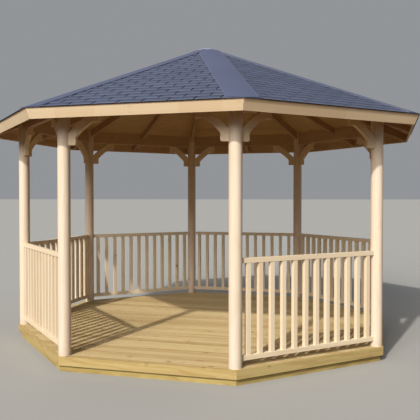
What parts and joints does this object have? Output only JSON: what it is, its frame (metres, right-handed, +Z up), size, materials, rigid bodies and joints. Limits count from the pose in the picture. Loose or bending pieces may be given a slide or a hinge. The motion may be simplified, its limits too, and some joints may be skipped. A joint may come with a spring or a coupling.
{
  "type": "garden gazebo",
  "caption": "Open eight-sided timber gazebo: round posts, slatted railings, one open side, low pyramid roof with shingles, on a boarded platform.",
  "frame": {"origin": "level ground, at the middle of the platform's underside", "axes": "+Z up; -Y out through the open side, the entrance; +X to the right of someone who faces the entrance from outside"},
  "size_m": [4.7916, 4.7916, 3.4197],
  "materials": {
    "post_timber": "turned pale spruce, bare",
    "railing_timber": "planed pale spruce, bare",
    "frame_timber": "planed pale spruce, bare",
    "roof_boards": "planed tongued and grooved spruce, bare",
    "fascia_timber": "planed pale spruce, bare",
    "deck_boards": "grooved yellow-green treated pine",
    "base_timber": "sawn treated pine",
    "shingle_felt": "slate blue mineral-faced felt tabs",
    "hip_felt": "smooth blue-grey felt"
  },
  "bodies": {
    "root": {"base_frame": "base_timber", "deck_joists": "base_timber", "deck_floor": "deck_boards", "deck_rim": "deck_boards", "post_front_right": "post_timber", "post_right_front": "post_timber", "post_right_back": "post_timber", "post_back_right": "post_timber", "post_back_left": "post_timber", "post_left_back": "post_timber", "post_left_front": "post_timber", "post_front_left": "post_timber", "railing_front_right": "railing_timber", "railing_right": "railing_timber", "railing_back_right": "railing_timber", "railing_back": "railing_timber", "railing_back_left": "railing_timber", "railing_left": "railing_timber", "railing_front_left": "railing_timber", "eave_beam_front": "frame_timber", "eave_beam_front_right": "frame_timber", "eave_beam_right": "frame_timber", "eave_beam_back_right": "frame_timber", "eave_beam_back": "frame_timber", "eave_beam_back_left": "frame_timber", "eave_beam_left": "frame_timber", "eave_beam_front_left": "frame_timber", "knee_braces": "frame_timber", "hip_rafters": "frame_timber", "middle_rafters": "frame_timber", "crown": "frame_timber", "roof_panel_front": "roof_boards", "roof_panel_front_right": "roof_boards", "roof_panel_right": "roof_boards", "roof_panel_back_right": "roof_boards", "roof_panel_back": "roof_boards", "roof_panel_back_left": "roof_boards", "roof_panel_left": "roof_boards", "roof_panel_front_left": "roof_boards", "fascia": "fascia_timber", "roof_covering": "shingle_felt", "hip_strips": "hip_felt", "peak_cap": "hip_felt"}
  },
  "joints": []
}
